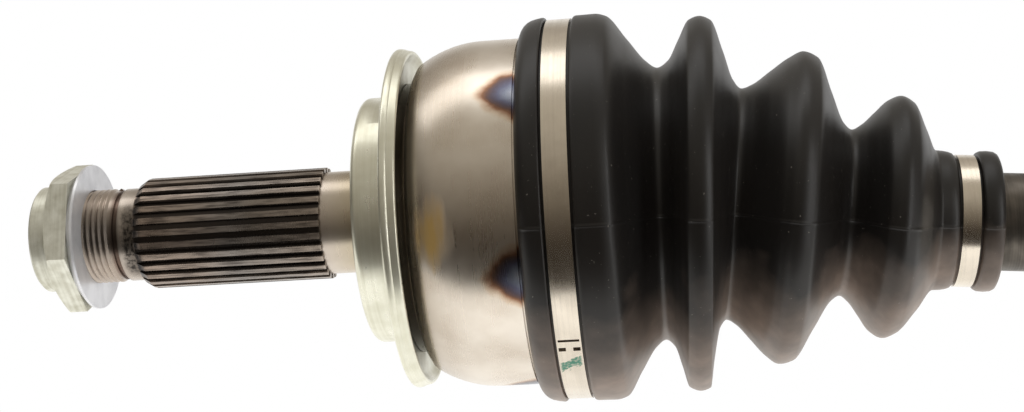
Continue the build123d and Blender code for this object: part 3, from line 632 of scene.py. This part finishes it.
# the lip in front of the large clamp, the clamp's groove, and the shoulder behind it
LARGE_END = [(-0.9, BELL_SEAT_R), (-0.9, 44.2), (-0.75, 45.0), (-0.4, 45.8), (0.1, 46.5), (0.8, 47.1)]
LARGE_END += [(1.8, 47.6), (3.2, 47.92), (4.2, 48.08), (4.65, 48.1), (4.92, 47.95), (5.08, 47.6)]
LARGE_END += [(5.1, 47.2), (5.1, 46.44), (12.1, 46.44), (12.1, 47.4), (12.2, 47.8), (12.5, 48.05)]
LARGE_END += [(13.0, 48.14)]
# the same for the small clamp, where the boot grips the bar
SMALL_END = [(99.2, 17.1), (100.4, 16.9), (101.3, 16.6), (101.8, 16.1), (101.8, 15.15)]
SMALL_END += [(107.2, 15.15), (107.2, 16.3), (107.5, 16.8), (108.2, 17.15), (109.7, 17.25)]
SMALL_END += [(111.2, 17.1), (111.9, 16.7), (112.2, 16.1)]
print("boot reaches", SMALL_END[-1][0], "mm past the joint centre")

# %% [markdown]
# The table has few rows, so a curve fills in the points between them. An ordinary spline would swing
# past the crests and valleys. A monotone cubic doesn't: its slope is zero at every turning point,
# and elsewhere the harmonic mean of the slopes on both sides.


# %% Curve through the table
def with_flank_middles(points, long_flank=5):
    """The table again, with a point half way up each long flank."""
    fuller = points[:1]
    for (x0, r0, a0), (x1, r1, a1) in zip(points, points[1:]):
        if abs(r1 - r0) > long_flank:
            fuller.append(((x0 + x1) / 2, (r0 + r1) / 2, (a0 + a1) / 2))
        fuller.append((x1, r1, a1))
    return fuller


def pleat_points(step):
    """A smooth curve through the table that never swings past a crest or a valley."""
    table = with_flank_middles(PLEATS)
    rises = [(r1 - r0) / (x1 - x0) for (x0, r0, _), (x1, r1, _) in zip(table, table[1:])]
    slopes = [0.0]
    for before, after in zip(rises, rises[1:]):
        slopes.append(2 * before * after / (before + after) if before * after > 0 else 0.0)
    slopes.append(0.0)
    points = []
    for i in range(len(rises)):
        (x0, r0, a0), (x1, r1, a1) = table[i], table[i + 1]
        width = x1 - x0
        count = max(2, round((width + abs(r1 - r0) * 0.6) / step))
        for k in range(count):
            t = k / count
            start_pull = t * (1 - t) ** 2 * width * slopes[i]
            end_pull = t * t * (t - 1) * width * slopes[i + 1]
            r = r0 + (r1 - r0) * t * t * (3 - 2 * t) + start_pull + end_pull
            points.append((x0 + width * t, r, math.radians(a0 + (a1 - a0) * t)))
    return points


print("pleats need", len(pleat_points(0.45)), "rings")

# %% [markdown]
# The mould leaves a fine seam down two sides of a boot. Here it is real geometry: every ring has
# close points near both seams, and a bell-shaped bump of 0.2 mm is added to its radius there.

# %% Boot rings
SEAM_ANGLE = math.radians(-5.2)
SEAM_HEIGHT, SEAM_WIDTH = 0.2, 0.3
CLOSE_DEGREES = (-3, -1.8, -1.1, -0.8, -0.55, -0.3, 0, 0.3, 0.55, 0.8, 1.1, 1.8, 3)
COARSE_STEPS = 78
close = [math.radians(a) for a in CLOSE_DEGREES]
coarse = [math.radians(3 + i * 174 / COARSE_STEPS) for i in range(1, COARSE_STEPS)]
seam_turns = [SEAM_ANGLE + half + a for half in (0, math.pi) for a in close + coarse]


def boot_ring(at, r, lean, seam_height):
    """One ring of the boot, in metres, with a small ridge at each of the two mould seams."""
    share = min(max((at - BEND_FROM) / (BEND_TO - BEND_FROM), 0), 1)
    bend = REST_BEND * math.sin(math.pi / 2 * share)
    rise = LIFT * math.sin(math.pi * share) - at * math.sin(bend)
    centre = Vector((JOINT_X + at * math.cos(bend), 0, rise))
    upward = Vector((math.sin(lean), 0, math.cos(lean)))
    points = []
    for turn in seam_turns:
        off_seam = math.remainder(turn - SEAM_ANGLE, math.pi) * r
        arm = r + seam_height * math.exp(-((off_seam / SEAM_WIDTH) ** 2))
        sideways = Vector((0, -arm * math.cos(turn), 0))
        points.append((centre + sideways + upward * arm * math.sin(turn)) * MM)
    return points


outside = [(at, r, 0.0) for at, r in LARGE_END] + pleat_points(0.45)
outside += [(BEND_TO, NECK_R, REST_BEND)] + [(at, r, REST_BEND) for at, r in SMALL_END]
inside = [(SMALL_END[-1][0], BAR_SEAT_R, REST_BEND), (98.5, BAR_SEAT_R, REST_BEND)]
inside += [(at, r - WALL, lean) for at, r, lean in reversed(pleat_points(1.2)) if at < 96.0]
inside += [(13.0, BELL_SEAT_R, 0.0)]
rings = [boot_ring(at, r, lean, SEAM_HEIGHT) for at, r, lean in outside]
rings += [boot_ring(at, r, lean, 0.0) for at, r, lean in inside]
print("boot outline has", len(rings), "points")

# %% [markdown]
# Rubber that has lain on a shelf is never evenly black: handling leaves slow smudges, and dust
# leaves pale specks. The smudges change both tone and gloss, the specks only tone. The lower side is
# painted lighter and reddish, as painted light bounced up from the paper, with some reddish dust. The
# moulded skin has a fine grain of about half a millimetre, drawn as bump. Were the boot bent, a
# pattern on plain coordinates would slide over it. So every point of the mesh carries its first place
# along, as an attribute in millimetres.

# %% Rubber
rubber, tree, shader, _ = blank_material("moulded_chloroprene_rubber")
place = add(tree, "Attribute", attribute_name="first_place").outputs["Vector"]
smudge = add(tree, "TexNoise", {"Vector": place, "Scale": 0.06, "Detail": 5.0})
black = add(tree, "ValToRGB", smudge, stops=[(0.3, "#100e0d"), (0.7, "#181513")]).outputs[0]
_, angle, _ = round_the_axle(tree, place)
# the lower side is painted lighter and reddish: painted light bounced from the paper below, partly
# reddish dust
from_below = add(tree, "Math", angle, math.pi / 2, operation="ADD")
from_below = add(tree, "Math", from_below, operation="ABSOLUTE")
uneven = add(tree, "Math", smudge, 0.8, from_below, operation="MULTIPLY_ADD")
underside_light_and_dust = add(tree, "MapRange", uneven, 1.5, 0.75)
cloud = add(tree, "TexNoise", {"Vector": place, "Scale": 0.15, "Detail": 3.0})
patchy = add(tree, "Math", cloud, 1.2, 0.2, operation="MULTIPLY_ADD")
fleck_noise = add(tree, "TexNoise", {"Vector": place, "Scale": 1.3, "Detail": 2.0})
fleck = add(tree, "MapRange", fleck_noise, 0.72, 0.78)
dust_and_bounce_light = (overlap(tree, underside_light_and_dust, patchy), "#85756a")
flecks = (overlap(tree, fleck, 0.5), "#8c8780")
sheen = add(tree, "Math", smudge, -0.16, 0.48, operation="MULTIPLY_ADD")
grain = add(tree, "TexNoise", {"Vector": place, "Scale": 2.0, "Detail": 3.0})
raised = add(tree, "Bump", {"Height": grain, "Strength": 0.14, "Distance": 0.06 * MM})
skin = {"Base Color": coats(tree, black, dust_and_bounce_light, flecks), "Roughness": sheen, "Normal": raised}
join(tree, shader, {**skin, "IOR": 1.46})
boot = ring_shell("moulded_boot", rings, rubber, 50)
first_place = boot.data.attributes.new("first_place", "FLOAT_VECTOR", "POINT")
first_place.data.foreach_set("vector", [c / MM for vertex in boot.data.vertices for c in vertex.co])
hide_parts("boot")
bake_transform(boot)

# %% [markdown]
# ## Camera and light
# The photograph was taken from a little to the right of the joint, with a long lens, and the shaft
# lay tilted in the picture. So the camera is rolled, and the shaft keeps its own level place.

# %% Camera
YAW = math.radians(6.15)
ROLL = math.radians(3.39)
NOD = math.radians(0.157)
CAMERA_PLACE = (0.0807, -0.4209, -0.0023)
FOCAL_PIXELS, PICTURE_PIXELS = 1676.2, 1024
SENSOR_WIDTH = 36
right = Vector((math.cos(YAW) * math.cos(ROLL), math.sin(YAW), -math.cos(YAW) * math.sin(ROLL)))
level = Vector((-math.sin(YAW) * math.cos(ROLL), math.cos(YAW), math.sin(YAW) * math.sin(ROLL)))
over = Vector((math.sin(ROLL), 0, math.cos(ROLL)))
ahead = level * math.cos(NOD) + over * math.sin(NOD)
above = over * math.cos(NOD) - level * math.sin(NOD)
camera_data = bpy.data.cameras.new("camera")
camera_data.sensor_width = SENSOR_WIDTH
camera_data.lens = SENSOR_WIDTH * FOCAL_PIXELS / PICTURE_PIXELS
camera_data.clip_start = 0.01
camera = bpy.data.objects.new("camera", camera_data)
bpy.context.scene.collection.objects.link(camera)
rows = [(right[i], above[i], -ahead[i], CAMERA_PLACE[i]) for i in range(3)]
camera.matrix_world = Matrix((*rows, (0, 0, 0, 1)))
bpy.context.scene.camera = camera
print("camera has a lens of", round(camera_data.lens, 1), "mm")

# %% [markdown]
# Bare steel has no colour of its own to speak of: it shows the room. In the photograph the bell
# mirrors, from its lower edge up, a white table, a dark gap in front of the table, a dim room that
# grows lighter with height, and a soft lamp overhead. So the world is a ramp over the angle at which
# one looks up from the front, through the zenith, to the white backdrop behind. Towards the two ends
# of the shaft the room has tones of its own, and a camera sees plain white behind the part.

# %% World
# degrees above the front, and the room's tone there
ROOM = [
    (-180, "#ffffff"),
    (-165, "#fbf9f6"),
    (-150, "#b9b4ab"),
    (-60, "#4a443d"),
    (-44, "#38332d"),
    (-30, "#3a352f"),
    (-20, "#3d3730"),
    (-9, "#544d44"),
    (1, "#6f685e"),
    (12, "#847d72"),
    (23, "#999287"),
    (34, "#aaa499"),
    (45, "#b4aea3"),
    (57, "#b9b3a7"),
    (70, "#bfb9ae"),
    (108, "#cfcac2"),
    (117, "#c6c0b6"),
    (139, "#aca59b"),
    (150, "#d9d6d0"),
    (162, "#fbf9f6"),
    (180, "#ffffff"),
]
ENDS = [(0.0, "#3b352f"), (0.5, "#8a847b"), (1.0, "#96918a")]
world = bpy.data.worlds.new("studio")
world.use_nodes = True
tree = world.node_tree
direction = add(tree, "TexCoord").outputs["Generated"]
x, y, z = add(tree, "SeparateXYZ", direction).outputs
towards_front = add(tree, "Math", y, -1.0, operation="MULTIPLY")
looking_up = add(tree, "Math", z, towards_front, operation="ARCTAN2")
turn = add(tree, "MapRange", looking_up, -math.pi, math.pi)
stops = [((at + 180) / 360, tone) for at, tone in ROOM]
room = add(tree, "ValToRGB", turn, stops=stops).outputs[0]
sides = add(tree, "Math", x, 0.5, 0.5, operation="MULTIPLY_ADD")
ends = add(tree, "ValToRGB", sides, stops=ENDS)
along_shaft = add(tree, "Math", x, operation="ABSOLUTE")
towards_end = add(tree, "MapRange", along_shaft, 0.72, 0.98)
is_camera = add(tree, "LightPath").outputs["Is Camera Ray"]
seen = coats(tree, room, (towards_end, ends), (is_camera, "#ffffff"))
join(tree, tree.nodes["Background"], {"Color": seen, "Strength": 1.0})
bpy.context.scene.world = world
print("the room has", len(ROOM), "tones")

# %% [markdown]
# The lamp overhead is a softbox that the steel mirrors as one broad highlight, and a narrow one at
# the right draws the thin light lines along the boot's pleats. Rubber and plating need more light
# than that dim room gives, so a wide fill lamp comes from the front, and another one lies on the
# paper and shines up, as the paper itself would under a brighter lamp. Both are hidden from mirror
# reflections, because they would draw highlights that the real bell doesn't have.


# %% Lamps
def softbox(name, place, aim, size_x, size_y, power):
    """A rectangular lamp at a place, turned towards its aim; sizes in metres, power in watts."""
    data = bpy.data.lights.new(name, "AREA")
    data.shape = "RECTANGLE"
    data.size = size_x
    data.size_y = size_y
    data.energy = power
    lamp = bpy.data.objects.new(name, data)
    bpy.context.scene.collection.objects.link(lamp)
    lamp.location = place
    lamp.rotation_euler = (Vector(aim) - Vector(place)).to_track_quat("-Z", "Y").to_euler()
    lamp.visible_camera = False
    print(name, "has a radiance of", round(power / (math.pi * size_x * size_y), 2))
    return lamp


softbox("overhead", (-0.13, 0.0, 0.75), (-0.13, 0.0, 0.0), 1.2, 0.34, 1.67)
softbox("right_strip", (0.62, -0.42, 0.04), (0.06, 0.0, 0.0), 0.12, 0.7, 1.1)
fill = softbox("front_fill", (0.1, -0.9, 0.35), (0.04, 0.0, 0.0), 1.2, 0.8, 2.9)
bounce = softbox("paper_bounce", (0.05, 0.0, -0.145), (0.05, 0.0, 0.0), 0.9, 0.3, 0.6)
for lamp in (fill, bounce):
    lamp.visible_glossy = False

# %% [markdown]
# The floor is white paper. It lies just below the lowest place that the swinging bar reaches, and
# its front edge is what draws the sharp border between the pale lower side of the bell and the dark
# middle. A camera or a mirror sees it near white, and it keeps the part's shadow.

# %% Floor
LEVEL = -0.15
LEFT, RIGHT = -0.9, 1.1
FRONT_EDGE, BACK_EDGE = -0.152, 0.62
corners = [(LEFT, FRONT_EDGE), (RIGHT, FRONT_EDGE), (RIGHT, BACK_EDGE), (LEFT, BACK_EDGE)]
floor_mesh = bpy.data.meshes.new("floor")
floor_mesh.from_pydata([(x, y, LEVEL) for x, y in corners], [], [(0, 1, 2, 3)])
floor = bpy.data.objects.new("floor", floor_mesh)
bpy.context.scene.collection.objects.link(floor)
paper, tree, shader, place = blank_material("white_paper")
fibre = add(tree, "TexNoise", {"Vector": place, "Scale": 0.4, "Detail": 4.0})
tone = add(tree, "ValToRGB", fibre, stops=[(0.3, "#f3f0eb"), (0.7, "#f8f6f2")])
rays = add(tree, "LightPath").outputs
mirrored = add(tree, "Math", rays["Is Glossy Ray"], rays["Is Transmission Ray"], operation="MAXIMUM")
looked_at = add(tree, "Math", rays["Is Camera Ray"], mirrored, operation="MAXIMUM")
glow = {"Emission Strength": looked_at, "Emission Color": (0.52, 0.55, 0.58, 1)}
join(tree, shader, {"Base Color": tone, "Roughness": 0.9, **glow})
paper.cycles.emission_sampling = "NONE"
floor_mesh.materials.append(paper)
print("floor lies at", LEVEL, "m")

# %% [markdown]
# Last, the standard view keeps a colour as it is written.

# %% Colour view
bpy.context.scene.view_settings.view_transform = "Standard"
